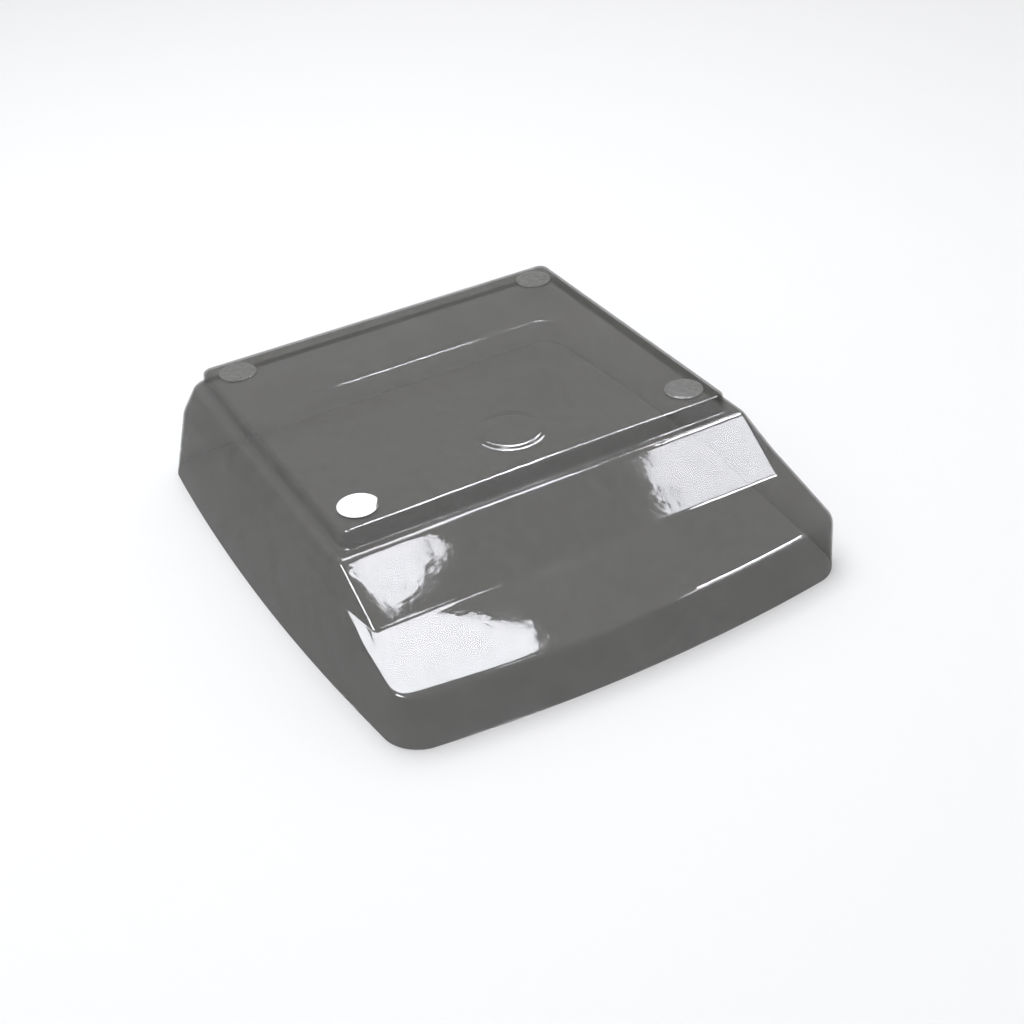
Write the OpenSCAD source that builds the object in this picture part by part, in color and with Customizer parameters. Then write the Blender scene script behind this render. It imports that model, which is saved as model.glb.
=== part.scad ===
// Protective cover: one thin formed sheet with a flat deck, a stepped ledge, a sloping front
// and a flared skirt, and four round double-sided pads on the deck.
// Origin: middle of the rim's box, on the surface that the rim stands on.
// +X to the right, +Y to the rear, +Z up; the sloping front faces -Y.

/* [Overall] */
// Widest width of the skirt at the rim
base_w = 336; // [290:1:410]
// Depth of the skirt at the rim, with the bow of the front
base_d = 382; // [340:1:460]
// Height of the deck above the rim
cover_h = 87; // [74:0.5:110]
// Thickness of the formed sheet
sheet_t = 1; // [0.8:0.1:1.6]

/* [Deck] */
// Width of the flat deck
deck_w = 272; // [220:1:282]
// Depth of the flat deck
deck_d = 233; // [200:1:250]
// From the rear of the rim to the rear edge of the deck
deck_rear_inset = 37; // [32:1:60]
// Corner radius of the deck
deck_corner_r = 6; // [4:0.5:14]
// Height of the riser between the ledge and the deck
riser_h = 12; // [6:0.5:14]
// How far the riser's foot stands outside the deck's edge
riser_run = 1.5; // [1:0.25:2.5]
// Width of the flat ledge round the riser
ledge_w = 7; // [5:0.5:9]

/* [Skirt] */
// Corner radius of the rim
base_corner_r = 20; // [14:1:30]
// How far the middle of the front stands ahead of its corners
front_bow = 12; // [0:1:16]
// Radius of the long outward bow of each side
side_bow_r = 1850; // [1500:50:4000]
// Where the sides are widest, behind the middle of the rim
widest_y = 25; // [0:1:60]
// How far the rim stands outside the wall's top, where the sides are widest
side_flare = 15; // [14:0.5:20]
// The same at the front
front_flare = 4; // [2:0.5:8]
// The same at the rear
rear_flare = 16; // [8:0.5:18]
// Height of the shelf on top of the bead that runs inwards across the rear wall
rear_bead_z = 23; // [18:1:35]
// How far that bead stands inwards
rear_bead_in = 2; // [1:0.1:3]

/* [Shoulder] */
// How far the ledge's edge stands above the highest point of the wall's top line
shoulder_drop = 11.5; // [8:0.5:16]
// Radius of the arch that the wall's top line follows from front to rear
shoulder_arch_r = 2100; // [1200:50:4000]
// Where that arch is highest, ahead of the middle of the rim
shoulder_crest_ahead = 30; // [0:1:60]
// Corner radius of the wall's top line at the front
top_corner_r = 9; // [6:0.5:14]

/* [Front slopes] */
// Depth of the upper slope, seen from above
upper_slope_run = 40; // [30:1:45]
// How far the upper slope falls
upper_slope_drop = 26; // [20:0.5:30]
// Corner radius of the upper slope's foot and of the ledge above it
slope_corner_r = 3; // [2:0.5:8]
// Height of the front edge, where the lower slope meets the front wall
front_edge_z = 36.5; // [28:0.5:42]
// Angle of the wall's top line beside the lower slope
lower_slope_angle = 14.5; // [10:0.5:20]

/* [Boss] */
// Diameter of the round boss on the deck
boss_d = 44; // [30:1:50]
// Height of the boss
boss_h = 1.5; // [1:0.1:4]
// From the deck's front edge to the middle of the boss
boss_inset = 41.5; // [36:0.5:60]

/* [Pads] */
// Diameter of each pad
pad_d = 25.4; // [20:0.1:32]
// Thickness of a pad's foam core
foam_t = 0.8; // [0.5:0.1:2]
// Thickness of the adhesive coat on each face of a core
adhesive_t = 0.1; // [0.1:0.05:0.3]
// From the deck's edges to the middle of a pad
pad_inset = 19.5; // [17:0.5:24]

/* [Release liner] */
// Thickness of the paper liner
liner_t = 0.2; // [0.1:0.05:0.4]
// Depth of the flat cut on the liner's edge, where a fingernail lifts it
liner_flat = 1.5; // [0.5:0.1:3]
// Clearance between the liner and the adhesive below it
liner_clear = 0.05; // [0.02:0.01:0.1]

/* [Hidden] */

// Heights and depths of the outer skin's creases, from the rim up
ledge_z = cover_h - riser_h;
crest_z = ledge_z - shoulder_drop;
slope_foot_z = ledge_z - upper_slope_drop;
rim_front = -base_d / 2;
rim_rear = base_d / 2;
deck_rear = rim_rear - deck_rear_inset;
deck_front = deck_rear - deck_d;
ledge_out = riser_run + ledge_w;
ledge_front = deck_front - ledge_out;
slope_foot_y = ledge_front - upper_slope_run;
// Where the wall's top line leaves the lower slope and starts along the shoulder
slope_top_y = (slope_foot_y + ledge_front) / 2;

// How much narrower the foot of the upper slope is than the ledge, on each side
slope_pinch = 1.5;
// The shoulder is the band from the wall's top up to the ledge. The crease that leads back from
// the foot of the upper slope joins it at the first of these shares of its width, and then
// drifts to the second in shoulder_drift steps.
crease_low_share = 0.12;
crease_high_share = 0.4;
shoulder_drift = 4;
// How softly the arch turns into the line beside the lower slope
top_blend = 5;

// Fillets: how far each starts from its crease
wall_fillet = 4;
ledge_fillet = 2.8;
deck_fillet = 2.5;
boss_fillet = 1.6;
boss_draft = 0.8;

// Heights of the rear bead's lower flank, its flat and its shelf
bead_foot = 4;
bead_flat = 1.5;
bead_shelf = 0.6;

// Share of the sheet's thickness by which the inner skin is drawn in at each crease, so that
// walls, slopes and flats all come out close to the sheet's thickness
wall_inset = 0.85;
slope_inset = 0.5;
riser_inset = 0.95;
// Share of the thickness by which the inner skin's shelf lies above the outer one's
shelf_inset = 0.6;

// Steps round half a loop: along half of the front or rear, in a front corner, of which the
// skirt's loops give the last ones to the stretch beside the lower slope, along a side, and in
// a rear corner
end_n = 6;
side_n = 16;
rear_corner_n = 5;
front_corner_n = 10;
stretch_n = 5;
// How fast the points along a side fall into line with those of the other loops
alignment = 4;
disc_fn = 64;

// Height of the wall's top line: the arch, and ahead of it the line beside the lower slope,
// blended where they meet
function arch_z(y) =
    crest_z - shoulder_arch_r + sqrt(pow(shoulder_arch_r, 2) - pow(y + shoulder_crest_ahead, 2));
function lower_slope_z(y) =
    front_edge_z + (y - rim_front - front_flare) * tan(lower_slope_angle);
function wall_top_z(y) =
    let (a = arch_z(y), b = lower_slope_z(y))
    (a + b - sqrt(pow(a - b, 2) + pow(top_blend, 2))) / 2;
function clamp01(v) = max(0, min(1, v));

// Quarter turn of radius r about (cx, cy) in n steps, starting at angle a
function quarter(cx, cy, r, a, n) =
    [for (i = [0:n]) [cx + r * cos(a + 90 * i / n), cy + r * sin(a + 90 * i / n)]];

// Points from a to b in n even steps, without a itself
function stretch(a, b, n) = [for (i = [1:n]) a + (b - a) * i / n];

// The front right corner, from the front to the side. Where split is given, the corner's last
// points run on along the side as far as split.
function front_corner(half_w, front, r, split) =
    is_undef(split)
        ? quarter(half_w - r, front + r, r, 270, front_corner_n)
        : concat(quarter(half_w - r, front + r, r, 270, front_corner_n - stretch_n),
                 stretch([half_w, front + r], [half_w, split], stretch_n));

// Points up the right side, from start to end. All loops' points are spaced as if they started
// at the deck's corner, and each loop's own start fades out on the way to the rear.
function side(half_w, start, end) =
    let (common = deck_front + deck_corner_r)
    [for (i = [1:side_n - 1])
        let (s = i / side_n)
        [half_w, common + (end - common) * s + (start - common) * pow(1 - s, alignment)]];

// The right half of a rectangle with round corners of radius fr at the front and rr at the rear,
// from the middle of its front to the middle of its rear
function right_half(half_w, front, rear, fr, rr, split) =
    let (corner = front_corner(half_w, front, fr, split),
         rear_corner = quarter(half_w - rr, rear - rr, rr, 0, rear_corner_n))
    concat([[0, front]],
           stretch([0, front], corner[0], end_n),
           [for (i = [1:front_corner_n]) corner[i]],
           side(half_w, corner[front_corner_n].y, rear - rr),
           rear_corner,
           stretch(rear_corner[rear_corner_n], [0, rear], end_n));

// How much narrower the rim is at y than where it is widest, as a share of its width
function narrowing(y) = pow(y - widest_y, 2) / (side_bow_r * base_w);

// How far the front's bow moves the point p of a loop to the rear
function bow_back(p, half_w, front) = front_bow * pow(p.x / half_w, 2) * clamp01(p.y / front);

// The crease at the foot of the upper slope, in the right half. It runs along the foot and
// round its corner, then back and up to the shoulder, and on along the shoulder's band from
// the wall's top to the ledge's edge.
function slope_crease(wall_top, ledge_edge, half_w, foot_y, foot_z, r) =
    let (arc_n = front_corner_n - stretch_n,
         corner = quarter(half_w - r, foot_y + r, r, 270, arc_n),
         front = concat([[0, foot_y]], stretch([0, foot_y], corner[0], end_n),
                        [for (i = [1:arc_n]) corner[i]]),
         low = [for (p = front) [p.x, p.y, foot_z + (p.y - foot_y) * tan(lower_slope_angle)]],
         last = end_n + front_corner_n,
         band = [for (i = [last:len(wall_top) - 1])
                    let (share = crease_low_share + (crease_high_share - crease_low_share)
                                 * clamp01((i - last) / shoulder_drift))
                    wall_top[i] + (ledge_edge[i] - wall_top[i]) * share])
    concat(low, stretch(low[len(low) - 1], band[0], stretch_n),
           [for (i = [1:len(band) - 1]) band[i]]);

// Closed loop, counter-clockwise, from its right half
function closed(half) = concat(half, [for (i = [len(half) - 2:-1:1]) [-half[i].x, half[i].y, half[i].z]]);

// The creases of the outer or inner skin, from the rim to the deck's edge, as closed loops.
// t is 0 for the outer skin and the sheet's thickness for the inner one.
function crease_loops(t) =
    let (w = t * wall_inset,
         s = t * slope_inset,
         d = t * riser_inset,
         half_w = base_w / 2 - w,
         front = rim_front + w,
         top_half_w = half_w - side_flare,
         top_front = front + front_flare,
         ledge_half_w = deck_w / 2 + ledge_out - s,
         rim = right_half(half_w, front, rim_rear - w, base_corner_r - w, base_corner_r - w, slope_top_y),
         wall_top = [for (p = right_half(top_half_w, top_front, rim_rear - rear_flare - w,
                                         top_corner_r - w, base_corner_r - w, slope_top_y))
                        [p.x, p.y + bow_back(p, top_half_w, top_front), wall_top_z(p.y) - t]],
         ledge_edge = [for (p = right_half(ledge_half_w, ledge_front + s, deck_rear + ledge_out - s,
                                           slope_corner_r - s, deck_corner_r + ledge_out - s))
                          [p.x, p.y, ledge_z - t]],
         crease = slope_crease(wall_top, ledge_edge, ledge_half_w - slope_pinch, slope_foot_y + s,
                               slope_foot_z - t, slope_corner_r - s),
         riser_foot = right_half(deck_w / 2 + riser_run - d, deck_front - riser_run + d,
                                 deck_rear + riser_run - d,
                                 deck_corner_r + riser_run - d, deck_corner_r + riser_run - d),
         deck_edge = right_half(deck_w / 2 - d, deck_front + d, deck_rear - d,
                                deck_corner_r - d, deck_corner_r - d))
    [closed([for (p = rim) [p.x * (1 - narrowing(p.y)), p.y + bow_back(p, half_w, front), 0]]),
     closed(wall_top),
     closed(crease),
     closed(ledge_edge),
     closed([for (p = riser_foot) [p.x, p.y, ledge_z - t]]),
     closed([for (p = deck_edge) [p.x, p.y, cover_h - t]])];

// Point at the distance reach from a towards b, or less on a short band
function towards(a, b, reach) = a + (b - a) * min(0.45, reach / norm(b - a));

// The three loops that round the crease between two bands
function fillet(below, crease, above, reach) =
    let (starts = [for (i = [0:len(crease) - 1]) towards(crease[i], below[i], reach)],
         ends = [for (i = [0:len(crease) - 1]) towards(crease[i], above[i], reach)])
    [starts, [for (i = [0:len(crease) - 1]) (starts[i] + 2 * crease[i] + ends[i]) / 4], ends];

// Loop across a wall at the height z, between the rim and the wall's top, with the rear drawn in
function wall_loop(rim, top, z, in) =
    [for (i = [0:len(rim) - 1])
        let (p = rim[i] + (top[i] - rim[i]) * z / top[i].z,
             behind = clamp01((p.y - deck_rear) / (rim_rear - deck_rear - base_corner_r / 2)))
        [p.x, p.y - in * behind, z]];

// Circle about the boss's axis whose points lie in the directions of the deck edge's points
function boss_loop(deck_edge, r, z) =
    [for (p = deck_edge)
        let (a = atan2(p.y - deck_front - boss_inset, p.x))
        [r * cos(a), deck_front + boss_inset + r * sin(a), z]];

function skin(t) =
    let (c = crease_loops(t),
         deck_z = cover_h - t,
         r = boss_d / 2 - t * riser_inset,
         bead_low = rear_bead_z - bead_flat,
         shelf_z = rear_bead_z + t * shelf_inset,
         high = wall_loop(c[0], c[1], shelf_z + bead_shelf, 0))
    concat([c[0],
            wall_loop(c[0], c[1], bead_low - bead_foot, 0),
            wall_loop(c[0], c[1], bead_low, rear_bead_in),
            wall_loop(c[0], c[1], shelf_z, rear_bead_in),
            high],
           fillet(high, c[1], c[2], wall_fillet),
           [c[2]],
           fillet(c[2], c[3], c[4], ledge_fillet),
           [c[4]],
           fillet(c[4], c[5], boss_loop(c[5], r, deck_z), deck_fillet),
           [boss_loop(c[5], r + boss_fillet, deck_z),
            boss_loop(c[5], r, deck_z + boss_fillet / 4),
            boss_loop(c[5], r - boss_draft, deck_z + boss_h - boss_fillet / 4),
            boss_loop(c[5], r - boss_draft - boss_fillet, deck_z + boss_h)]);

// Two triangles for each step round the band between loop j and loop k of n points
function band(j, k, n) =
    [for (i = [0:n - 1])
        let (m = (i + 1) % n)
        each [[j * n + i, k * n + m, j * n + m], [j * n + i, k * n + i, k * n + m]]];

module cover_shell() {
    outer = skin(0);
    inner = skin(sheet_t);
    loops = concat(outer, [for (j = [len(inner) - 1:-1:0]) inner[j]]);
    n = len(outer[0]);
    top = len(outer) - 1;
    faces = concat([for (j = [0:top - 1]) each band(j, j + 1, n)],
                   [[for (i = [n - 1:-1:0]) top * n + i]],
                   [[for (i = [0:n - 1]) (top + 1) * n + i]],
                   [for (j = [top + 1:len(loops) - 2]) each band(j, j + 1, n)],
                   band(len(loops) - 1, 0, n));
    color([0.44, 0.44, 0.43, 0.75])
        polyhedron(points = [for (l = loops) each l], faces = faces, convexity = 6);
}

// x and y of a pad's middle. side is -1 at the left and 1 at the right, end is -1 at the front
// and 1 at the rear.
function pad_place(side, end) =
    [side * (deck_w / 2 - pad_inset),
     end < 0 ? deck_front + pad_inset : deck_rear - pad_inset];

module disc(side, end, z, h) {
    translate([each pad_place(side, end), z]) cylinder(d = pad_d, h = h, $fn = disc_fn);
}

module lower_adhesive(side, end) {
    color([0.62, 0.62, 0.6]) disc(side, end, cover_h, adhesive_t);
}

module pad_foam(side, end) {
    color([0.56, 0.56, 0.55]) disc(side, end, cover_h + adhesive_t, foam_t);
}

module upper_adhesive(side, end) {
    color([0.62, 0.62, 0.6]) disc(side, end, cover_h + adhesive_t + foam_t, adhesive_t);
}

// The liner on the front left pad, with its flat towards the front right
module release_liner() {
    liner_z = cover_h + 2 * adhesive_t + foam_t + liner_clear;
    color("white")
        translate([each pad_place(-1, -1), liner_z])
            intersection() {
                cylinder(d = pad_d, h = liner_t, $fn = disc_fn);
                rotate([0, 0, -30])
                    translate([-pad_d / 2 - liner_flat, -pad_d, -liner_t])
                        cube([pad_d, 2 * pad_d, 3 * liner_t]);
            }
}

cover_shell();
pad_foam(-1, -1);  // pad_foam_front_left
pad_foam(1, -1);  // pad_foam_front_right
pad_foam(-1, 1);  // pad_foam_rear_left
pad_foam(1, 1);  // pad_foam_rear_right
lower_adhesive(-1, -1);  // lower_adhesive_front_left
lower_adhesive(1, -1);  // lower_adhesive_front_right
lower_adhesive(-1, 1);  // lower_adhesive_rear_left
lower_adhesive(1, 1);  // lower_adhesive_rear_right
upper_adhesive(-1, -1);  // upper_adhesive_front_left
upper_adhesive(1, -1);  // upper_adhesive_front_right
upper_adhesive(-1, 1);  // upper_adhesive_rear_left
upper_adhesive(1, 1);  // upper_adhesive_rear_right
release_liner();
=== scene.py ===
"""Looks of a see-through protective cover: a formed smoke-grey sheet with four round pads.

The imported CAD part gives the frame. Every piece is a surface worked out with numpy from the
part's own boxes and the sizes in the classes below, in metres. +Y is the rear and +Z is up.
"""

import logging
import math
from dataclasses import dataclass
from enum import Enum

import bpy
import numpy as np
from mathutils import Matrix, Vector


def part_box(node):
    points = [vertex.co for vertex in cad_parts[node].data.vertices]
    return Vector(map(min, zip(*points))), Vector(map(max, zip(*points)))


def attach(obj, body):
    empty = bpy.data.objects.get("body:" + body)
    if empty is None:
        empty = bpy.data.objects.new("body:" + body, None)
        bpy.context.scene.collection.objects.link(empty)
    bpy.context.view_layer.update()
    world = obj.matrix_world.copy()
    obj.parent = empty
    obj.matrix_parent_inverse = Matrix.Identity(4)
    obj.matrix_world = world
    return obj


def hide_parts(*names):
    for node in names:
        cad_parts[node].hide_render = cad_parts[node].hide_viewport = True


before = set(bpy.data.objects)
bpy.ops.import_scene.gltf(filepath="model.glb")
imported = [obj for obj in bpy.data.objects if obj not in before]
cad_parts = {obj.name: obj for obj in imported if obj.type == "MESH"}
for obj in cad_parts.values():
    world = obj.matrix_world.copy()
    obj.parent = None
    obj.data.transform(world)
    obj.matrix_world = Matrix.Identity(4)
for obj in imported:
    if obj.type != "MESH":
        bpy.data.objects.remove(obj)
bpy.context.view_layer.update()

MM = 0.001
COVER_BODY = "cover"
LINER_BODY = "liner"
# A noise pattern's low and high ends, and the sockets that stretch one range over another
NOISE_LOW, NOISE_HIGH = 0.3, 0.7
RANGE = ("From Min", "From Max", "To Min", "To Max")
# The largest share of a band that a rounding takes up
ROUNDING_LIMIT = 0.45

log = logging.getLogger("cover")

Array = np.ndarray
Material = bpy.types.Material
Object = bpy.types.Object


# ---------------------------------------------------------------------------------------------
# Meshes
# ---------------------------------------------------------------------------------------------


def ring_faces(rows: int, columns: int) -> Array:
    """Quads of a grid whose columns close into rings.

    Point (j, i) has the number j * columns + i. Each quad joins ring j to ring j + 1. It faces
    outwards where the columns run counter-clockwise seen from above and the rings run upwards.

    Args:
        rows: How many rings there are.
        columns: How many points a ring has.

    Returns:
        Whole numbers of shape (quads, 4).
    """
    j, i = np.meshgrid(np.arange(rows - 1), np.arange(columns), indexing="ij")
    here, beside = j * columns + i, j * columns + (i + 1) % columns
    return np.stack([here, beside, beside + columns, here + columns], axis=-1).reshape(-1, 4)


def fan_faces(first: int, columns: int, pole: int, up: bool) -> Array:
    """Triangles from the ring that starts at point first to the point pole.

    Args:
        first: Number of the ring's first point.
        columns: How many points the ring has.
        pole: Number of the point in the middle.
        up: True where the fan faces up, False where it faces down.

    Returns:
        Whole numbers of shape (columns, 3).
    """
    i = np.arange(columns)
    here, beside = first + i, first + (i + 1) % columns
    pair = [here, beside] if up else [beside, here]
    return np.stack([*pair, np.full(columns, pole)], axis=-1)


def make_object(name: str, points: Array, faces: list[Array], sharp: float) -> Object:
    """Makes a smooth-shaded mesh object at the origin.

    Args:
        name: The object's name.
        points: Coordinates of shape (points, 3), in metres.
        faces: Arrays of point numbers, one array for each number of corners.
        sharp: Edges that turn by more than this angle, in degrees, stay sharp.

    Returns:
        The new object, linked to the scene.
    """
    mesh = bpy.data.meshes.new(name)
    mesh.from_pydata(points.tolist(), [], [face for block in faces for face in block.tolist()])
    mesh.polygons.foreach_set("use_smooth", np.ones(len(mesh.polygons), dtype=bool))
    mesh.set_sharp_from_angle(angle=math.radians(sharp))
    mesh.update()
    piece = bpy.data.objects.new(name, mesh)
    bpy.context.scene.collection.objects.link(piece)
    return piece


def quarter(center: tuple[float, float], radius: float, start: float, steps: int) -> Array:
    """Quarter turn: the centre plus radius times (cos a, sin a) for a from start to start + 90.

    Args:
        center: x and y of the arc's centre.
        radius: The arc's radius.
        start: The first angle, in degrees.
        steps: How many steps the arc has.

    Returns:
        Points of shape (steps + 1, 2).
    """
    angle = np.radians(start + 90 * np.arange(steps + 1) / steps)
    return np.array(center) + radius * np.stack([np.cos(angle), np.sin(angle)], axis=-1)


def stretch(start: Array, end: Array, steps: int) -> Array:
    """Even steps along the line from start to end, without start itself."""
    share = np.arange(1, steps + 1)[:, None] / steps
    return np.asarray(start) + (np.asarray(end) - np.asarray(start)) * share


def across(start: Array, end: Array, shares: tuple[float, ...]) -> Array:
    """Rings between two rings: start plus each share of the way to end.

    Args:
        start: The first ring, of shape (columns, 3).
        end: The last ring, of the same shape.
        shares: Where the new rings lie, from 0 at start to 1 at end.

    Returns:
        Rings of shape (shares, columns, 3).
    """
    share = np.array(shares)[:, None, None]
    return start + (end - start) * share


def rounded(below: Array, crease: Array, above: Array, reach: float, steps: int) -> Array:
    """Rings that round a crease: the curve (1-s)^2 start + 2s(1-s) crease + s^2 end.

    start and end lie at the distance reach from the crease, towards the rings below and above,
    or at most the share ROUNDING_LIMIT of the way to them.

    Args:
        below: The ring before the crease, of shape (columns, 3).
        crease: The ring to round.
        above: The ring after it.
        reach: How far the rounding starts from the crease.
        steps: How many steps the rounding has.

    Returns:
        Rings of shape (steps + 1, columns, 3).
    """

    def towards(other: Array) -> Array:
        """The point at reach from the crease towards the other ring."""
        way = other - crease
        length = np.linalg.norm(way, axis=1, keepdims=True)
        return crease + way * np.minimum(ROUNDING_LIMIT, reach / length)

    s = np.linspace(0, 1, steps + 1)[:, None, None]
    return (1 - s) ** 2 * towards(below) + 2 * s * (1 - s) * crease + s**2 * towards(above)


# ---------------------------------------------------------------------------------------------
# Finishes
# ---------------------------------------------------------------------------------------------


def colour(code: str) -> tuple[float, float, float, float]:
    """Turns an sRGB hex value such as '#a0b0c0' into a linear colour with alpha 1."""
    parts = [int(code[k : k + 2], 16) / 255 for k in (1, 3, 5)]
    linear = [c / 12.92 if c <= 0.04045 else ((c + 0.055) / 1.055) ** 2.4 for c in parts]
    return (*linear, 1.0)


def add(
    tree: bpy.types.NodeTree,
    kind: str,
    values: dict[str | int, object] | None = None,
    links: dict[str | int, bpy.types.NodeSocket] | None = None,
    **settings: object,
) -> bpy.types.Node:
    """Adds a node with its settings, socket values and incoming links.

    Args:
        tree: The node tree.
        kind: The node's type, such as ShaderNodeTexNoise.
        values: Values by input socket.
        links: Output sockets of other nodes by input socket.
        settings: The node's own properties.

    Returns:
        The new node.
    """
    node = tree.nodes.new(kind)
    for key, value in settings.items():
        setattr(node, key, value)
    for key, value in (values or {}).items():
        node.inputs[key].default_value = value
    for key, socket in (links or {}).items():
        tree.links.new(socket, node.inputs[key])
    return node


def new_material(name: str) -> tuple[Material, bpy.types.NodeTree, bpy.types.NodeSocket]:
    """Makes an empty node material.

    Args:
        name: The material's name.

    Returns:
        The material, its node tree and an Object coordinates socket.
    """
    material = bpy.data.materials.new(name)
    material.use_nodes = True
    tree = material.node_tree
    tree.nodes.clear()
    return material, tree, add(tree, "ShaderNodeTexCoord").outputs["Object"]


def close_material(tree: bpy.types.NodeTree, shader: bpy.types.Node) -> None:
    """Links the shader to a material output."""
    add(tree, "ShaderNodeOutputMaterial", links={"Surface": shader.outputs[0]})


def two_tone(
    tree: bpy.types.NodeTree, share: bpy.types.NodeSocket, low: str, high: str
) -> bpy.types.NodeSocket:
    """Blends two colours by a pattern.

    Args:
        tree: The node tree.
        share: The pattern, around 0.5.
        low: sRGB hex value where the pattern is at most NOISE_LOW.
        high: sRGB hex value where it is at least NOISE_HIGH.

    Returns:
        The blended colour's socket.
    """
    ramp = add(tree, "ShaderNodeValToRGB", links={"Fac": share})
    ends = ((NOISE_LOW, low), (NOISE_HIGH, high))
    for stop, (position, code) in zip(ramp.color_ramp.elements, ends):
        stop.position, stop.color = position, colour(code)
    return ramp.outputs[0]


@dataclass(frozen=True)
class FormedPetg:
    """Smoke-tinted PETG sheet, formed hot over a mould.

    The eye gets a glossy, slightly wavy see-through skin: long soft ripples where the sheet
    cooled, a fine orange peel from the mould, and faint cloudy rub marks from handling.
    """

    tint: str = "#4a4945"
    bloom: str = "#55544f"
    # Share of the light that each of the sheet's two faces holds back
    held_low: float = 0.45
    held_high: float = 0.50
    ior: float = 1.57
    gloss_low: float = 0.02
    gloss_high: float = 0.06
    # Length and height of the ripples, and of the orange peel on them. The real peel is finer
    # than 1 mm, and is drawn coarser so that it shows.
    ripple_length: float = 42 * MM
    ripple_height: float = 0.30 * MM
    peel_length: float = 3.5 * MM
    peel_height: float = 0.004 * MM
    cloud_length: float = 30 * MM
    # Rubbed hairlines add to the clouds: from gloss_low at rub_low to gloss_high at rub_high
    hairline_length: float = 60 * MM
    hairline_width: float = 0.8 * MM
    hairline_turn: float = 24.0
    hairline_weight: float = 0.35
    rub_low: float = 0.45
    rub_high: float = 0.85

    def material(self) -> Material:
        """Builds the material.

        Returns:
            The material.
        """
        material, tree, place = new_material("petg_sheet_smoke_formed")
        ripple = add(
            tree,
            "ShaderNodeTexNoise",
            {"Scale": 1 / self.ripple_length, "Detail": 4.0, "Roughness": 0.5},
            {"Vector": place},
        )
        peel = add(
            tree,
            "ShaderNodeTexNoise",
            {"Scale": 1 / self.peel_length, "Detail": 1.0},
            {"Vector": place},
        )
        cloud = add(
            tree,
            "ShaderNodeTexNoise",
            {"Scale": 1 / self.cloud_length, "Detail": 5.0, "Distortion": 0.6},
            {"Vector": place},
        ).outputs[0]
        grain = (1 / self.hairline_length, 1 / self.hairline_width, 1 / self.hairline_length)
        brushed = add(
            tree,
            "ShaderNodeMapping",
            {"Rotation": (0.0, 0.0, math.radians(self.hairline_turn)), "Scale": grain},
            {"Vector": place},
        )
        hairline = add(
            tree,
            "ShaderNodeTexNoise",
            {"Scale": 1.0, "Detail": 2.0},
            {"Vector": brushed.outputs[0]},
        )
        marks = add(
            tree,
            "ShaderNodeMath",
            {1: self.hairline_weight},
            {0: hairline.outputs[0], 2: cloud},
            operation="MULTIPLY_ADD",
        )
        rubbed = (self.rub_low, self.rub_high, self.gloss_low, self.gloss_high)
        clouded = (NOISE_LOW, NOISE_HIGH, self.held_low, self.held_high)
        gloss, held = (
            add(tree, "ShaderNodeMapRange", dict(zip(RANGE, ends)), {"Value": pattern})
            for ends, pattern in ((rubbed, marks.outputs[0]), (clouded, cloud))
        )
        waves = add(
            tree,
            "ShaderNodeBump",
            {"Distance": self.ripple_height},
            {"Height": ripple.outputs[0]},
        )
        skin = add(
            tree,
            "ShaderNodeBump",
            {"Distance": self.peel_height},
            {"Height": peel.outputs[0], "Normal": waves.outputs[0]},
        )
        shader = add(
            tree,
            "ShaderNodeBsdfPrincipled",
            {"IOR": self.ior},
            {
                "Base Color": two_tone(tree, cloud, self.tint, self.bloom),
                "Roughness": gloss.outputs[0],
                "Alpha": held.outputs[0],
                "Normal": skin.outputs[0],
            },
        )
        close_material(tree, shader)
        return material


@dataclass(frozen=True)
class AcrylicFoam:
    """Clear grey acrylic foam of a double-sided pad, cast between liners and die-cut.

    The eye gets a cloudy rubber full of fine closed cells, a little lighter where they crowd.
    It has no gloss of its own, because the adhesive on it bends light as much as it does.
    """

    dense: str = "#8a8a87"
    airy: str = "#a0a09c"
    held: float = 0.65
    # The cells are about 0.1 mm across, and are drawn coarser so that they show
    cell_size: float = 0.5 * MM
    cell_height: float = 0.02 * MM
    crowd_size: float = 3 * MM
    roughness: float = 0.5

    def material(self) -> Material:
        """Builds the material.

        Returns:
            The material.
        """
        material, tree, place = new_material("acrylic_foam_clear_grey")
        cells = add(
            tree,
            "ShaderNodeTexVoronoi",
            {"Scale": 1 / self.cell_size},
            {"Vector": place},
            feature="SMOOTH_F1",
        )
        crowd = add(
            tree,
            "ShaderNodeTexNoise",
            {"Scale": 1 / self.crowd_size, "Detail": 3.0},
            {"Vector": place},
        )
        bump = add(
            tree,
            "ShaderNodeBump",
            {"Distance": self.cell_height},
            {"Height": cells.outputs["Distance"]},
        )
        shader = add(
            tree,
            "ShaderNodeBsdfPrincipled",
            {"Roughness": self.roughness, "Specular IOR Level": 0.0, "Alpha": self.held},
            {
                "Base Color": two_tone(tree, crowd.outputs[0], self.dense, self.airy),
                "Normal": bump.outputs[0],
            },
        )
        close_material(tree, shader)
        return material


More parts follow.
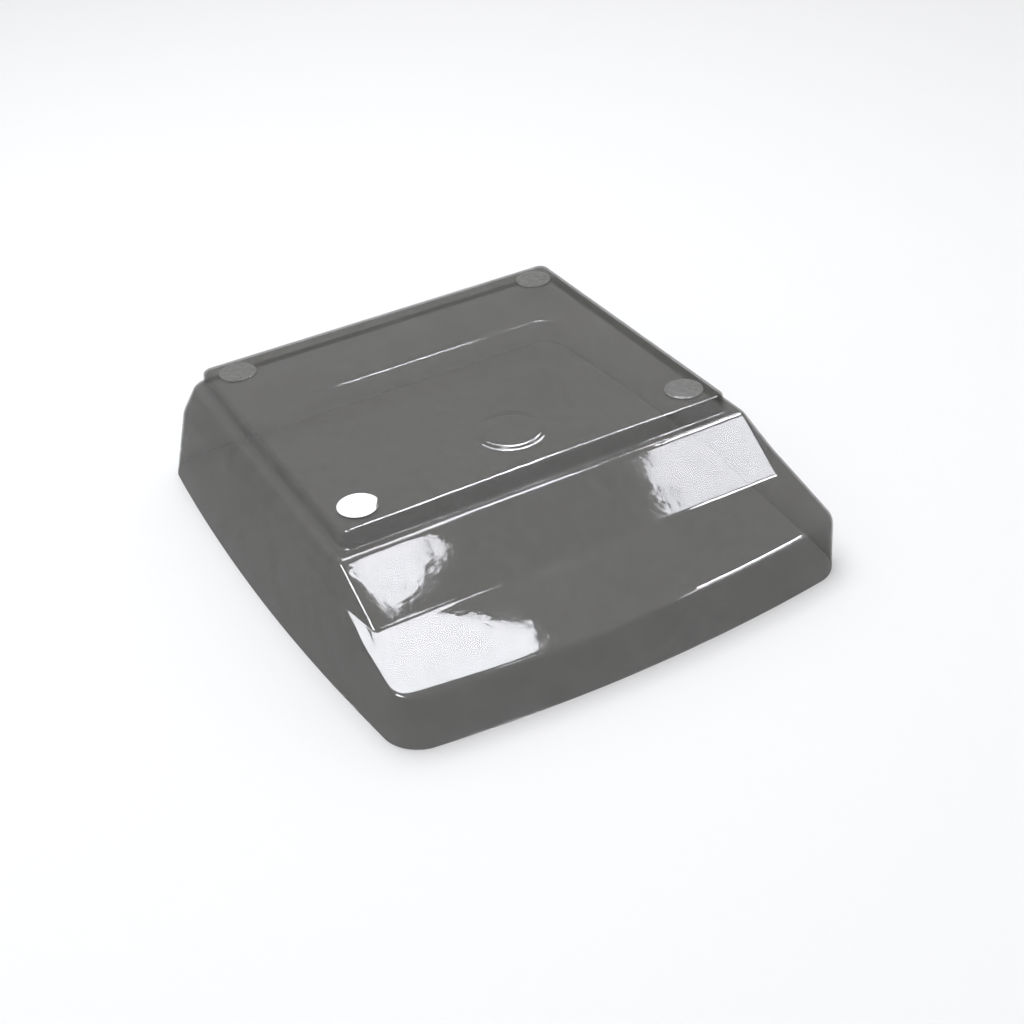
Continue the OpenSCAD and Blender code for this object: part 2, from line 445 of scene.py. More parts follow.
@dataclass(frozen=True)
class PressureAdhesive:
    """Acrylic adhesive coat, rolled thin onto the foam.

    The eye gets a soft wet sheen with a low stipple where the coat was pulled off its liner.
    """

    clear: str = "#9a9a97"
    milky: str = "#adadaa"
    held: float = 0.30
    ior: float = 1.47
    gloss_low: float = 0.10
    gloss_high: float = 0.16
    stipple_size: float = 1.4 * MM
    stipple_height: float = 0.02 * MM

    def material(self) -> Material:
        """Builds the material.

        Returns:
            The material.
        """
        material, tree, place = new_material("acrylic_adhesive_coat")
        stipple = add(
            tree,
            "ShaderNodeTexNoise",
            {"Scale": 1 / self.stipple_size, "Detail": 2.0},
            {"Vector": place},
        ).outputs[0]
        ends = (NOISE_LOW, NOISE_HIGH, self.gloss_low, self.gloss_high)
        sheen = add(tree, "ShaderNodeMapRange", dict(zip(RANGE, ends)), {"Value": stipple})
        bump = add(
            tree, "ShaderNodeBump", {"Distance": self.stipple_height}, {"Height": stipple}
        )
        shader = add(
            tree,
            "ShaderNodeBsdfPrincipled",
            {"IOR": self.ior, "Alpha": self.held},
            {
                "Base Color": two_tone(tree, stipple, self.clear, self.milky),
                "Roughness": sheen.outputs[0],
                "Normal": bump.outputs[0],
            },
        )
        close_material(tree, shader)
        return material


@dataclass(frozen=True)
class ReleasePaper:
    """White release paper, calendered and coated with silicone.

    The eye gets a smooth white sheet with short faint fibres under a satin coat.
    """

    light: str = "#fbfbfa"
    fibre: str = "#efefec"
    # Fibres are about 30 micrometres wide, and are drawn coarser so that they show
    fibre_length: float = 2.2 * MM
    fibre_width: float = 0.35 * MM
    fibre_height: float = 0.008 * MM
    fibre_turn: float = -35.0
    roughness: float = 0.55
    # The silicone coat
    coat: float = 0.25
    coat_roughness: float = 0.35

    def material(self) -> Material:
        """Builds the material.

        Returns:
            The material.
        """
        material, tree, place = new_material("release_paper_siliconised")
        grain = (1 / self.fibre_length, 1 / self.fibre_width, 1 / self.fibre_length)
        laid = add(
            tree,
            "ShaderNodeMapping",
            {"Rotation": (0.0, 0.0, math.radians(self.fibre_turn)), "Scale": grain},
            {"Vector": place},
        )
        fibres = add(
            tree,
            "ShaderNodeTexNoise",
            {"Scale": 1.0, "Detail": 4.0, "Distortion": 0.8},
            {"Vector": laid.outputs[0]},
        ).outputs[0]
        bump = add(tree, "ShaderNodeBump", {"Distance": self.fibre_height}, {"Height": fibres})
        shader = add(
            tree,
            "ShaderNodeBsdfPrincipled",
            {
                "Roughness": self.roughness,
                "Coat Weight": self.coat,
                "Coat Roughness": self.coat_roughness,
            },
            {
                "Base Color": two_tone(tree, fibres, self.fibre, self.light),
                "Normal": bump.outputs[0],
            },
        )
        close_material(tree, shader)
        return material


@dataclass(frozen=True)
class StudioPaper:
    """Matt white background paper that the cover stands on."""

    white: str = "#f6f6f5"
    roughness: float = 0.95
    shine: float = 0.1

    def material(self) -> Material:
        """Builds the material.

        Returns:
            The material.
        """
        material, tree, _ = new_material("studio_paper_white")
        shader = add(
            tree,
            "ShaderNodeBsdfPrincipled",
            {
                "Base Color": colour(self.white),
                "Roughness": self.roughness,
                "Specular IOR Level": self.shine,
            },
        )
        close_material(tree, shader)
        return material


# ---------------------------------------------------------------------------------------------
# The formed sheet
# ---------------------------------------------------------------------------------------------


@dataclass(frozen=True)
class Steps:
    """How finely the sheet is drawn."""

    # Round half a ring: half of the front or rear, a front corner, the part of it that runs
    # on beside the lower slope, a side, and a rear corner
    end: int = 18
    front_corner: int = 30
    beside_slope: int = 15
    side: int = 48
    rear_corner: int = 15
    # Where the slope's crease drifts over the shoulder, up each part of the bead, round a fillet
    drift: int = 12
    bead: int = 7
    fillet: int = 8
    # Where rings lie on the flat stretch before a fillet, and on the top of the boss
    between: tuple[float, ...] = (0.03, 0.2, 0.4, 0.6, 0.8, 0.97)
    boss_top: tuple[float, ...] = (0.05, 0.35, 0.7, 1.0)


@dataclass
class FormedSheet:
    """The cover's one formed sheet: deck, boss, riser, ledge, slopes, shoulder, skirt and bead.

    Rings of points run from the rim up to the boss. Six of them are creases. The others lie
    between two creases, round one off, or draw the bead.
    """

    width: float
    depth: float
    deck_height: float
    boss_height: float
    sheet: float = 1.0 * MM
    deck_width: float = 272 * MM
    deck_depth: float = 233 * MM
    deck_rear_inset: float = 37 * MM
    deck_radius: float = 6 * MM
    riser_height: float = 12 * MM
    riser_run: float = 1.5 * MM
    ledge_width: float = 7 * MM
    rim_radius: float = 20 * MM
    front_bow: float = 12 * MM
    side_bow_radius: float = 1850 * MM
    widest_y: float = 25 * MM
    side_flare: float = 15 * MM
    front_flare: float = 4 * MM
    rear_flare: float = 16 * MM
    # The bead across the rear wall: height of its shelf, how far it stands in, and the
    # heights of its lower flank, its flat and its shelf
    bead_z: float = 23 * MM
    bead_in: float = 2.0 * MM
    bead_foot: float = 4 * MM
    bead_flat: float = 1.5 * MM
    bead_shelf: float = 0.6 * MM
    shoulder_drop: float = 11.5 * MM
    arch_radius: float = 2100 * MM
    arch_crest_ahead: float = 30 * MM
    top_radius: float = 9 * MM
    top_blend: float = 5 * MM
    slope_run: float = 40 * MM
    slope_drop: float = 26 * MM
    slope_radius: float = 3 * MM
    slope_pinch: float = 1.5 * MM
    front_edge_height: float = 36.5 * MM
    lower_slope_angle: float = 14.5
    boss_diameter: float = 44 * MM
    boss_inset: float = 41.5 * MM
    boss_draft: float = 0.8 * MM
    # How far each rounding starts from its crease
    wall_fillet: float = 4 * MM
    foot_fillet: float = 1.5 * MM
    ledge_fillet: float = 2.8 * MM
    riser_fillet: float = 2.6 * MM
    deck_fillet: float = 2.5 * MM
    boss_fillet: float = 1.6 * MM
    # The last ring on the boss, as a share of its radius
    boss_center: float = 0.2
    # Share of the sheet by which the inner skin is drawn in, or raised at the bead's shelf
    wall_inset: float = 0.85
    slope_inset: float = 0.5
    riser_inset: float = 0.95
    shelf_inset: float = 0.6
    # Where the slope's crease crosses the shoulder: shares of the shoulder's width
    crease_low: float = 0.12
    crease_high: float = 0.4
    side_alignment: int = 4
    steps: Steps = Steps()

    @classmethod
    def from_frame(cls) -> "FormedSheet":
        """Takes the overall sizes from the frame.

        Returns:
            The sheet, with the width, depth and heights of the CAD part.
        """
        low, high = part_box("cover_shell")
        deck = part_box("lower_adhesive_front_left")[0].z
        return cls(high.x - low.x, high.y - low.y, deck, high.z - deck)

    def __post_init__(self) -> None:
        """Works out the heights and depths of the creases."""
        self.ledge_z = self.deck_height - self.riser_height
        self.crest_z = self.ledge_z - self.shoulder_drop
        self.foot_z = self.ledge_z - self.slope_drop
        self.rim_front = -self.depth / 2
        self.rim_rear = self.depth / 2
        self.deck_rear = self.rim_rear - self.deck_rear_inset
        self.deck_front = self.deck_rear - self.deck_depth
        self.ledge_out = self.riser_run + self.ledge_width
        self.ledge_front = self.deck_front - self.ledge_out
        self.foot_y = self.ledge_front - self.slope_run
        self.slope_top_y = (self.foot_y + self.ledge_front) / 2
        self.climb = math.tan(math.radians(self.lower_slope_angle))

    def wall_top_z(self, y: Array) -> Array:
        """Height of the wall's top line.

        An arch of a large circle, and ahead of it a line beside the lower slope, joined by a
        soft minimum: (a + b - sqrt((a - b)^2 + blend^2)) / 2.

        Args:
            y: Places along the cover.

        Returns:
            The height at each place.
        """
        from_crest = y + self.arch_crest_ahead
        arch = self.crest_z - self.arch_radius + np.sqrt(self.arch_radius**2 - from_crest**2)
        line = self.front_edge_height + (y - self.rim_front - self.front_flare) * self.climb
        return (arch + line - np.sqrt((arch - line) ** 2 + self.top_blend**2)) / 2

    def front_corner(
        self, half: float, front: float, radius: float, split: float | None
    ) -> Array:
        """The front right corner: a quarter turn, then a stretch along the side up to split.

        Args:
            half: Half the ring's width.
            front: The ring's front.
            radius: The corner's radius.
            split: Where the stretch ends, or None for a quarter turn only.

        Returns:
            Points of shape (front_corner + 1, 2).
        """
        center = (half - radius, front + radius)
        if split is None:
            return quarter(center, radius, 270, self.steps.front_corner)
        arc = quarter(center, radius, 270, self.steps.front_corner - self.steps.beside_slope)
        return np.vstack([arc, stretch(arc[-1], (half, split), self.steps.beside_slope)])

    def side(self, half: float, start: float, end: float) -> Array:
        """Points up the right side, spaced as if every ring started at the deck's corner.

        Args:
            half: Half the ring's width.
            start: Where this ring's side starts. Its offset fades out towards the rear.
            end: Where it ends.

        Returns:
            Points of shape (side - 1, 2).
        """
        s = np.arange(1, self.steps.side) / self.steps.side
        common = self.deck_front + self.deck_radius
        y = common + (end - common) * s + (start - common) * (1 - s) ** self.side_alignment
        return np.stack([np.full_like(y, half), y], axis=-1)

    def right_half(
        self,
        half: float,
        front: float,
        rear: float,
        front_radius: float,
        rear_radius: float,
        split: float | None = None,
    ) -> Array:
        """Right half of a round-cornered rectangle, from mid front to mid rear.

        Args:
            half: Half its width.
            front: Its front.
            rear: Its rear.
            front_radius: Radius of the front corner.
            rear_radius: Radius of the rear corner.
            split: Where the front corner's stretch along the side ends, if it has one.

        Returns:
            Points of shape (points, 2).
        """
        corner = self.front_corner(half, front, front_radius, split)
        rear_center = (half - rear_radius, rear - rear_radius)
        rear_corner = quarter(rear_center, rear_radius, 0, self.steps.rear_corner)
        return np.vstack(
            [
                [[0.0, front]],
                stretch((0.0, front), corner[0], self.steps.end),
                corner[1:],
                self.side(half, corner[-1, 1], rear - rear_radius),
                rear_corner,
                stretch(rear_corner[-1], (0.0, rear), self.steps.end),
            ]
        )

    def bowed(self, points: Array, half: float, front: float) -> Array:
        """Moves points to the rear by bow * (x / half)^2, fading out from the front to y = 0."""
        fade = np.clip(points[:, 1] / front, 0, 1)
        back = self.front_bow * (points[:, 0] / half) ** 2 * fade
        return np.stack([points[:, 0], points[:, 1] + back], axis=-1)

    def slope_crease(self, top: Array, ledge: Array, half: float, depth: float) -> Array:
        """Right half of the crease at the upper slope's foot.

        It runs along the foot and its corner at the lower slope's angle, climbs in a straight
        stretch to the shoulder, and goes on between the wall's top and the ledge's edge.

        Args:
            top: Right half of the wall's top ring.
            ledge: Right half of the ledge's edge ring.
            half: Half the width of the foot.
            depth: How far below the outer skin this skin lies.

        Returns:
            Points of shape (points, 3).
        """
        arc_steps = self.steps.front_corner - self.steps.beside_slope
        foot_y = self.foot_y + depth * self.slope_inset
        radius = self.slope_radius - depth * self.slope_inset
        arc = quarter((half - radius, foot_y + radius), radius, 270, arc_steps)
        middle = (0.0, foot_y)
        flat = np.vstack([[middle], stretch(middle, arc[0], self.steps.end), arc[1:]])
        low = np.column_stack([flat, self.foot_z - depth + (flat[:, 1] - foot_y) * self.climb])
        last = self.steps.end + self.steps.front_corner
        drift = np.clip(np.arange(len(top) - last) / self.steps.drift, 0, 1)[:, None]
        share = self.crease_low + (self.crease_high - self.crease_low) * drift
        band = top[last:] + (ledge[last:] - top[last:]) * share
        return np.vstack([low, stretch(low[-1], band[0], self.steps.beside_slope), band[1:]])

    def creases(self, depth: float) -> list[Array]:
        """The six creases of one skin as closed rings, from the rim to the deck's edge.

        Args:
            depth: 0 for the outer skin, and the sheet's thickness for the inner one.

        Returns:
            Rings of shape (columns, 3).
        """
        w, s, d = (depth * k for k in (self.wall_inset, self.slope_inset, self.riser_inset))
        half, front = self.width / 2 - w, self.rim_front + w
        top_half, top_front = half - self.side_flare, front + self.front_flare
        ledge_half = self.deck_width / 2 + self.ledge_out - s
        corner = self.rim_radius - w

        def level(points: Array, z: float | Array) -> Array:
            """Points with the height z."""
            return np.column_stack([points, np.broadcast_to(z, len(points))])

        rim = self.right_half(half, front, self.rim_rear - w, corner, corner, self.slope_top_y)
        narrow = (rim[:, 1] - self.widest_y) ** 2 / (self.side_bow_radius * self.width)
        bowed_rim = self.bowed(rim, half, front)
        bowed_rim[:, 0] *= 1 - narrow
        top = self.right_half(
            top_half,
            top_front,
            self.rim_rear - self.rear_flare - w,
            self.top_radius - w,
            corner,
            self.slope_top_y,
        )
        wall_top = level(self.bowed(top, top_half, top_front), self.wall_top_z(top[:, 1]) - depth)
        edge = self.right_half(
            ledge_half,
            self.ledge_front + s,
            self.deck_rear + self.ledge_out - s,
            self.slope_radius - s,
            self.deck_radius + self.ledge_out - s,
        )
        ledge = level(edge, self.ledge_z - depth)
        out = self.riser_run - d
        foot, deck = (
            self.right_half(
                self.deck_width / 2 + k,
                self.deck_front - k,
                self.deck_rear + k,
                self.deck_radius + k,
                self.deck_radius + k,
            )
            for k in (out, -d)
        )
        halves = [
            level(bowed_rim, 0.0),
            wall_top,
            self.slope_crease(wall_top, ledge, ledge_half - self.slope_pinch, depth),
            ledge,
            level(foot, self.ledge_z - depth),
            level(deck, self.deck_height - depth),
        ]
        return [np.vstack([h, h[-2:0:-1] * (-1, 1, 1)]) for h in halves]

    def wall(self, rim: Array, top: Array, depth: float) -> Array:
        """Rings of the skirt's wall, with the bead that runs inwards across its rear.

        Each ring lies on the line from the rim to the wall's top. The rear is drawn in by
        bead_in times the product of two soft steps 3t^2 - 2t^3 of the height: one up over the
        bead's lower flank and one down over its shelf.

        Args:
            rim: The rim's ring.
            top: The wall's top ring.
            depth: 0 for the outer skin, and the sheet's thickness for the inner one.

        Returns:
            Rings of shape (rings, columns, 3).
        """
        low = self.bead_z - self.bead_flat
        shelf = self.bead_z + depth * self.shelf_inset
        stops = [0, low - self.bead_foot, low, shelf, shelf + self.bead_shelf]
        bands = [np.linspace(a, b, self.steps.bead + 1)[1:] for a, b in zip(stops, stops[1:])]
        height = np.concatenate([[0.0], *bands])[:, None, None]
        rings = rim + (top - rim) * height / top[:, 2:]
        run = self.rim_rear - self.deck_rear - self.rim_radius / 2
        behind = np.clip((rings[..., 1] - self.deck_rear) / run, 0, 1)
        rise = np.clip((height - stops[1]) / self.bead_foot, 0, 1)
        fall = np.clip((stops[4] - height) / self.bead_shelf, 0, 1)
        drawn = self.bead_in * rise**2 * (3 - 2 * rise) * fall**2 * (3 - 2 * fall)
        rings[..., 1] -= drawn[..., 0] * behind
        rings[..., 2] = height[..., 0]
        return rings

    def boss_ring(self, deck: Array, radius: float, z: float) -> Array:
        """Circle about the boss's axis whose points lie in the directions of the deck's edge."""
        center = np.array([0.0, self.deck_front + self.boss_inset])
        way = deck[:, :2] - center
        way /= np.linalg.norm(way, axis=1, keepdims=True)
        return np.column_stack([center + radius * way, np.full(len(deck), z)])

    def skin(self, depth: float) -> Array:
        """All rings of one skin, from the rim to the boss.

        Args:
            depth: 0 for the outer skin, and the sheet's thickness for the inner one.

        Returns:
            Rings of shape (rings, columns, 3).
        """
        rim, top, crease, ledge, foot, deck = self.creases(depth)
        deck_z = self.deck_height - depth
        boss_top = deck_z + self.boss_height
        base = self.boss_diameter / 2 - depth * self.riser_inset
        boss_foot = self.boss_ring(deck, base, deck_z)
        boss_edge = self.boss_ring(deck, base - self.boss_draft, boss_top)
        center = self.boss_ring(deck, self.boss_center * base, boss_top)
        wall = self.wall(rim, top, depth)
        parts = [wall]
        corners = [
            (wall[-1], top, crease, self.wall_fillet),
            (top, crease, ledge, self.foot_fillet),
            (crease, ledge, foot, self.ledge_fillet),
            (ledge, foot, deck, self.riser_fillet),
            (foot, deck, boss_foot, self.deck_fillet),
            (deck, boss_foot, boss_edge, self.boss_fillet),
            (boss_foot, boss_edge, center, self.boss_fillet),
        ]
        for below, bend, above, reach in corners:
            fillet = rounded(below, bend, above, reach, self.steps.fillet)
            parts += [across(parts[-1][-1], fillet[0], self.steps.between), fillet]
        parts.append(across(parts[-1][-1], center, self.steps.boss_top))
        return np.concatenate(parts)

    def build(self, finish: FormedPetg) -> Object:
        """Makes the sheet as one closed wall and puts it on the cover's body.

        Args:
            finish: The sheet's finish.

        Returns:
            The finished piece.
        """
        outer, inner = self.skin(0.0), self.skin(self.sheet)[::-1]
        rows, columns = outer.shape[:2]
        rings = np.concatenate([outer, inner]).reshape(-1, 3)
        poles = np.array([outer[-1].mean(axis=0), inner[0].mean(axis=0)])
        quads = ring_faces(rows, columns)
        rim_quads = ring_faces(2, columns)
        last = (2 * rows - 1) * columns
        rim_quads = np.where(rim_quads < columns, rim_quads + last, rim_quads - columns)
        outer_pole, inner_pole = len(rings), len(rings) + 1
        faces = [
            quads,
            quads + rows * columns,
            rim_quads,
            fan_faces((rows - 1) * columns, columns, outer_pole, up=True),
            fan_faces(rows * columns, columns, inner_pole, up=False),
        ]
        piece = make_object("formed_sheet", np.vstack([rings, poles]), faces, sharp=50)
        piece.data.materials.append(finish.material())
        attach(piece, COVER_BODY)
        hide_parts("cover_shell")
        return piece


# ---------------------------------------------------------------------------------------------
# The pads and the liner
# ---------------------------------------------------------------------------------------------


class Corner(Enum):
    """The deck's four corners, each with a pad."""

    FRONT_LEFT = "front_left"
    FRONT_RIGHT = "front_right"
    REAR_LEFT = "rear_left"
    REAR_RIGHT = "rear_right"


def turned_disc(
    center: Vector,
    outline: Array,
    profile: Array,
    lift: Array | None = None,
) -> tuple[Array, list[Array]]:
    """A disc whose profile is carried round an outline.

    Point (j, i) lies at the share profile[j, 0] of the way from the centre to the outline's
    point i, at the height profile[j, 1]. Poles close the disc below and above.

    Args:
        center: Middle of the disc at height zero.
        outline: Distance of the rim from the centre, for each of the columns.
        profile: Shares of the outline and heights, from the bottom's middle to the top's.
        lift: Height added for each ring and column, if the disc isn't flat.

    Returns:
        The points and the faces.
    """
    columns = len(outline)
    angle = 2 * np.pi * np.arange(columns) / columns
    reach = profile[:, :1] * outline
    rise = profile[:, 1:] + (0 if lift is None else lift) + np.zeros(columns)
    rings = np.stack([reach * np.cos(angle), reach * np.sin(angle), rise], axis=-1)
    poles = np.array([[0, 0, rings[k, :, 2].mean()] for k in (0, -1)])
    points = np.vstack([rings.reshape(-1, 3), poles]) + np.array(center)
    rows = len(profile)
    faces = [
        ring_faces(rows, columns),
        fan_faces(0, columns, rows * columns, up=False),
        fan_faces((rows - 1) * columns, columns, rows * columns + 1, up=True),
    ]
    return points, faces


@dataclass
class Pad:
    """A round double-sided pad: a foam core between two adhesive coats."""

    corner: Corner
    columns: int = 160
    # The die presses the foam's edge in, and the foam springs back into a shallow bulge
    edge_round: float = 0.22 * MM
    bulge: float = 0.10 * MM
    # The coats stop short of the foam's edge by a distance that wanders
    coat_short: float = 0.16 * MM
    coat_wander: float = 0.07 * MM
    # How deep a coat's rounded edge is, as a share of its radius, and the steps round it
    coat_edge: float = 0.006
    coat_steps: int = 8
    # How often each of an outline's waves goes round it
    waves: tuple[int, ...] = (2, 3, 5, 9)
    # Where rings lie on a core's faces and a coat's faces, as shares of the radius
    core_rings: tuple[float, ...] = (0.3, 0.7)
    coat_rings: tuple[float, ...] = (0.35, 0.75)
    # Steps round a core's edge and up its side
    core_steps: int = 6

    def outline(self, radius: float, wander: float, seed: int) -> Array:
        """The radius less a sum of four cosine waves, so that no two pads are cut alike.

        Args:
            radius: The largest distance from the pad's middle.
            wander: How far the waves reach, in all.
            seed: Picks the waves' phases.

        Returns:
            The distance from the middle for each column.
        """
        angle = 2 * np.pi * np.arange(self.columns) / self.columns
        phase = np.random.default_rng(seed).uniform(0, 2 * np.pi, len(self.waves))
        counts = np.array(self.waves)
        waves = np.cos(counts[:, None] * angle + phase[:, None]).mean(axis=0)
        return radius - wander * (1 - waves) / 2

    def foam_profile(self, radius: float, thickness: float) -> Array:
        """A flat disc with quarter-round edges and a side that bulges as a sine of its height.

        Args:
            radius: The disc's radius.
            thickness: Its thickness.

        Returns:
            Shares of the radius and heights, from the bottom's middle to the top's.
        """
        flat = radius - self.edge_round - self.bulge
        turn = np.radians(np.linspace(0, 90, self.core_steps + 1))
        side = np.linspace(self.edge_round, thickness - self.edge_round, self.core_steps + 1)[1:-1]
        out = flat + self.edge_round + self.bulge * np.sin(np.pi * side / thickness)
        low = flat + self.edge_round * np.sin(turn)
        low_z = self.edge_round * (1 - np.cos(turn))
        face = np.array(self.core_rings)
        share = np.concatenate([face, np.concatenate([low, out, low[::-1]]) / radius, face[::-1]])
        z = np.concatenate([0 * face, low_z, side, thickness - low_z[::-1], thickness + 0 * face])
        return np.column_stack([share, z])

    def coat_profile(self, thickness: float) -> Array:
        """A thin film with a rounded edge: a half circle of the film's thickness.

        Args:
            thickness: The film's thickness.

        Returns:
            Shares of the outline and heights, from the bottom's middle to the top's.
        """
        turn = np.radians(np.linspace(-90, 90, self.coat_steps + 1))
        edge = 1 - self.coat_edge * (1 - np.cos(turn))
        z = thickness * (1 + np.sin(turn)) / 2
        face = np.array(self.coat_rings)
        share = np.concatenate([face, edge, face[::-1]])
        return np.column_stack([share, np.concatenate([0 * face, z, thickness + 0 * face])])

    def layer(self, node: str, name: str, slot: str, finish: Material, seed: int) -> Object:
        """Makes one layer of the pad in the room of its CAD node.

        Args:
            node: The CAD node's name, without the corner.
            name: The piece's name, without the corner.
            slot: The layer's material slot.
            finish: The layer's material.
            seed: Picks the outline's waves.

        Returns:
            The finished piece.
        """
        cad = f"{node}_{self.corner.value}"
        low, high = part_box(cad)
        radius, thickness = (high.x - low.x) / 2, high.z - low.z
        center = Vector(((low.x + high.x) / 2, (low.y + high.y) / 2, low.z))
        if slot == "pad_foam":
            outline = self.outline(radius, self.bulge / 2, seed)
            profile = self.foam_profile(radius, thickness)
        else:
            outline = self.outline(radius - self.coat_short, self.coat_wander, seed)
            profile = self.coat_profile(thickness)
        points, faces = turned_disc(center, outline, profile)
        piece = make_object(f"{name}_{self.corner.value}", points, faces, sharp=80)
        piece.data.materials.append(finish)
        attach(piece, COVER_BODY)
        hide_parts(cad)
        return piece

    def build(self, foam: Material, adhesive: Material, seed: int) -> list[Object]:
        """Makes the pad's three layers, from the deck up.

        Args:
            foam: The core's material.
            adhesive: The coats' material.
            seed: Picks the outlines' waves.

        Returns:
            The finished pieces.
        """
        lower = self.layer("lower_adhesive", "lower_coat", "adhesive", adhesive, seed)
        core = self.layer("pad_foam", "foam_core", "pad_foam", foam, seed + 1)
        upper = self.layer("upper_adhesive", "upper_coat", "adhesive", adhesive, seed + 2)
        return [lower, core, upper]


@dataclass
class ReleaseLiner:
    """The paper liner that still covers one pad, with a flat cut where a nail lifts it."""

    columns: int = 240
    flat: float = 1.5 * MM
    # Direction of the flat, and how far the paper has curled up there
    flat_angle: float = -30.0
    curl: float = 0.35 * MM
    curl_start: float = 0.35
    # How much of its thickness is rounded off at each side of its edge
    edge_share: float = 0.12
    # Where rings lie on its faces, as shares of the outline
    rings: tuple[float, ...] = (0.2, 0.4, 0.55, 0.7, 0.8, 0.9, 0.97, 0.998)

    def build(self, finish: ReleasePaper) -> Object:
        """Makes the liner in the room of its CAD node.

        The outline is the smaller of the radius and the chord's distance over the cosine of
        the angle from the flat. The paper lifts by the square of how far a point lies towards
        the flat, past the share curl_start of the way.

        Args:
            finish: The paper's finish.

        Returns:
            The finished piece.
        """
        low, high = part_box("release_liner")
        pad_low, pad_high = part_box("upper_adhesive_front_left")
        center = Vector(((pad_low.x + pad_high.x) / 2, (pad_low.y + pad_high.y) / 2, low.z))
        radius = (pad_high.x - pad_low.x) / 2
        chord = radius - self.flat
        angle = 2 * np.pi * np.arange(self.columns) / self.columns
        facing = np.cos(angle - math.radians(self.flat_angle))
        outline = np.minimum(radius, chord / np.maximum(facing, chord / (2 * radius)))
        thickness = high.z - low.z
        share = np.array([*self.rings, 1.0, 1.0, *self.rings[::-1]])
        edge, rings = self.edge_share * thickness, len(self.rings)
        z = [0.0] * rings + [edge, thickness - edge] + [thickness] * rings
        towards = share[:, None] * outline * facing / chord
        lift = self.curl * np.clip((towards - self.curl_start) / (1 - self.curl_start), 0, 1) ** 2
        points, faces = turned_disc(center, outline, np.column_stack([share, z]), lift)
        piece = make_object("paper_liner", points, faces, sharp=80)
        piece.data.materials.append(finish.material())
        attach(piece, LINER_BODY)
        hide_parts("release_liner")
        return piece


# ---------------------------------------------------------------------------------------------
# The studio
# ---------------------------------------------------------------------------------------------


class Job(Enum):
    """What a softbox is for: to light the set, or only to be seen mirrored in the gloss."""

    KEY = "key"
    CARD = "card"


@dataclass(frozen=True)
class Softbox:
    """A soft light that faces down, at its place above the cover."""

    name: str
    center: tuple[float, float, float]
    size: tuple[float, float]
    turn: float
    watts: float
    job: Job
    tone: str = "#f8f9ff"

    def build(self) -> None:
        """Hangs the light."""
        lamp = bpy.data.lights.new(self.name, "AREA")
        lamp.shape = "RECTANGLE"
        lamp.size, lamp.size_y = self.size
        lamp.energy = self.watts
        lamp.color = colour(self.tone)[:3]
        light = bpy.data.objects.new(self.name, lamp)
        light.location = self.center
        light.rotation_euler = (0.0, 0.0, math.radians(self.turn))
        light.visible_diffuse = self.job is Job.KEY
        light.visible_glossy = self.job is Job.CARD
        bpy.context.scene.collection.objects.link(light)


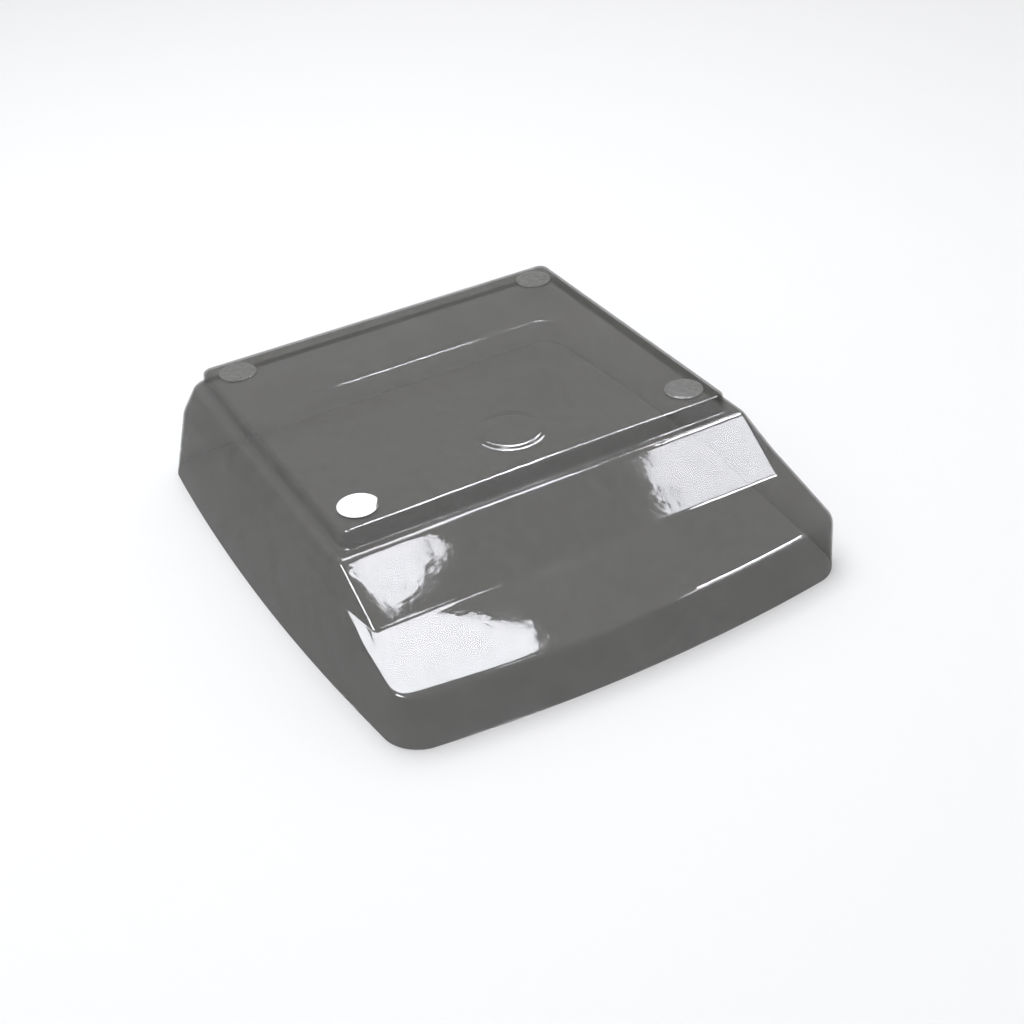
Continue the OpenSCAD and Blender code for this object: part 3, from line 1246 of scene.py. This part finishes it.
@dataclass
class Studio:
    """A white paper floor, soft lights overhead, a pale room, and the camera."""

    floor_size: float = 8.0
    floor_gap: float = 0.2 * MM
    # The room is dim at the horizon and bright overhead
    room: str = "#ffffff"
    room_low: float = 0.25
    room_high: float = 0.75
    # The camera stands ahead and to the left of the cover and looks down at it
    camera_place: tuple[float, float, float] = (-0.394, -0.802, 0.622)
    yaw: float = 27.07
    pitch: float = 34.79
    roll: float = -4.32
    lens: float = 56.46
    sensor: float = 36.0
    # The key lights the set. The cards hang where the camera sees them mirrored in the upper
    # and the lower slope at the left, in the upper slope at the right, in the left edge, in
    # the roundings along the front wall, the deck, the ledge and the boss, and in the rear
    # bead's shelf.
    lights: tuple[Softbox, ...] = (
        Softbox("key_light", (-0.2, 0.3, 2.0), (1.6, 1.6), 0.0, 27.0, Job.KEY),
        Softbox("upper_card", (0.313, -0.43, 1.4), (0.12, 0.12), 35.0, 1.1, Job.CARD),
        Softbox("lower_card", (0.259, 0.319, 1.4), (0.36, 0.32), -22.0, 8.4, Job.CARD),
        Softbox("side_card", (0.985, -0.455, 1.4), (0.42, 0.24), 8.0, 6.4, Job.CARD),
        Softbox("edge_card", (-0.75, -0.50, 1.4), (0.70, 0.50), 0.0, 45.0, Job.CARD),
        Softbox("front_card", (0.94, 0.05, 1.4), (0.30, 0.20), 0.0, 17.0, Job.CARD),
        Softbox("deck_card", (0.485, 0.71, 1.4), (0.51, 0.32), 0.0, 18.0, Job.CARD),
        Softbox("boss_card", (0.53, 1.33, 1.4), (0.38, 0.26), 0.0, 14.0, Job.CARD),
        Softbox("shelf_card", (0.625, 1.045, 1.4), (0.27, 0.31), 0.0, 42.0, Job.CARD),
        Softbox("far_card", (0.99, 1.0, 1.4), (0.32, 0.90), 0.0, 28.0, Job.CARD),
    )

    def build(self) -> None:
        """Builds the floor, the lights, the room and the camera."""
        half = self.floor_size / 2
        corners = np.array([(x, y, -self.floor_gap) for x, y in self.square(half)])
        floor = make_object("studio_floor", corners, [np.array([[0, 1, 2, 3]])], sharp=30)
        floor.data.materials.append(StudioPaper().material())
        # The sheet's walls mirror the dim room and not the white floor
        floor.visible_glossy = False
        for light in self.lights:
            light.build()
        self.build_room()
        bpy.context.scene.view_settings.view_transform = "Standard"
        self.camera()

    def build_room(self) -> None:
        """Lights the room evenly from room_low at the horizon to room_high overhead."""
        world = bpy.data.worlds.new("pale_room")
        world.use_nodes = True
        tree = world.node_tree
        tree.nodes.clear()
        way = add(tree, "ShaderNodeTexCoord").outputs["Generated"]
        height = add(tree, "ShaderNodeSeparateXYZ", links={0: way}).outputs["Z"]
        glow = add(
            tree,
            "ShaderNodeMapRange",
            {"To Min": self.room_low, "To Max": self.room_high},
            {"Value": height},
        )
        sky = add(
            tree,
            "ShaderNodeBackground",
            {"Color": colour(self.room)},
            {"Strength": glow.outputs[0]},
        )
        add(tree, "ShaderNodeOutputWorld", links={"Surface": sky.outputs[0]})
        bpy.context.scene.world = world

    @staticmethod
    def square(half: float) -> list[tuple[float, float]]:
        """Corners of a square, counter-clockwise seen from above."""
        return [(-half, -half), (half, -half), (half, half), (-half, half)]

    def camera(self) -> None:
        """Sets up the camera from its place and its three angles."""
        yaw, pitch, roll = (math.radians(a) for a in (self.yaw, self.pitch, self.roll))
        level = math.cos(pitch)
        ahead = Vector((math.sin(yaw) * level, math.cos(yaw) * level, -math.sin(pitch)))
        side = Vector((math.cos(yaw), -math.sin(yaw), 0.0))
        up = side.cross(ahead)
        right = side * math.cos(roll) + up * math.sin(roll)
        up = up * math.cos(roll) - side * math.sin(roll)
        data = bpy.data.cameras.new("camera")
        data.lens = self.lens
        data.sensor_width = self.sensor
        camera = bpy.data.objects.new("camera", data)
        columns = Matrix((right, up, -ahead)).transposed().to_4x4()
        camera.matrix_world = Matrix.Translation(self.camera_place) @ columns
        bpy.context.scene.collection.objects.link(camera)
        bpy.context.scene.camera = camera


def report(pieces: list[Object]) -> None:
    """Logs each piece's name and how many faces it has."""
    for piece in pieces:
        log.info("%s: %d faces", piece.name, len(piece.data.polygons))


def main() -> None:
    """Builds the sheet, the pads, the liner and the studio."""
    logging.basicConfig(level=logging.INFO)
    report([FormedSheet.from_frame().build(FormedPetg())])
    foam, adhesive = AcrylicFoam().material(), PressureAdhesive().material()
    for number, corner in enumerate(Corner):
        report(Pad(corner).build(foam, adhesive, seed=10 * number))
    report([ReleaseLiner().build(ReleasePaper())])
    Studio().build()


if __name__ == "__main__":
    main()
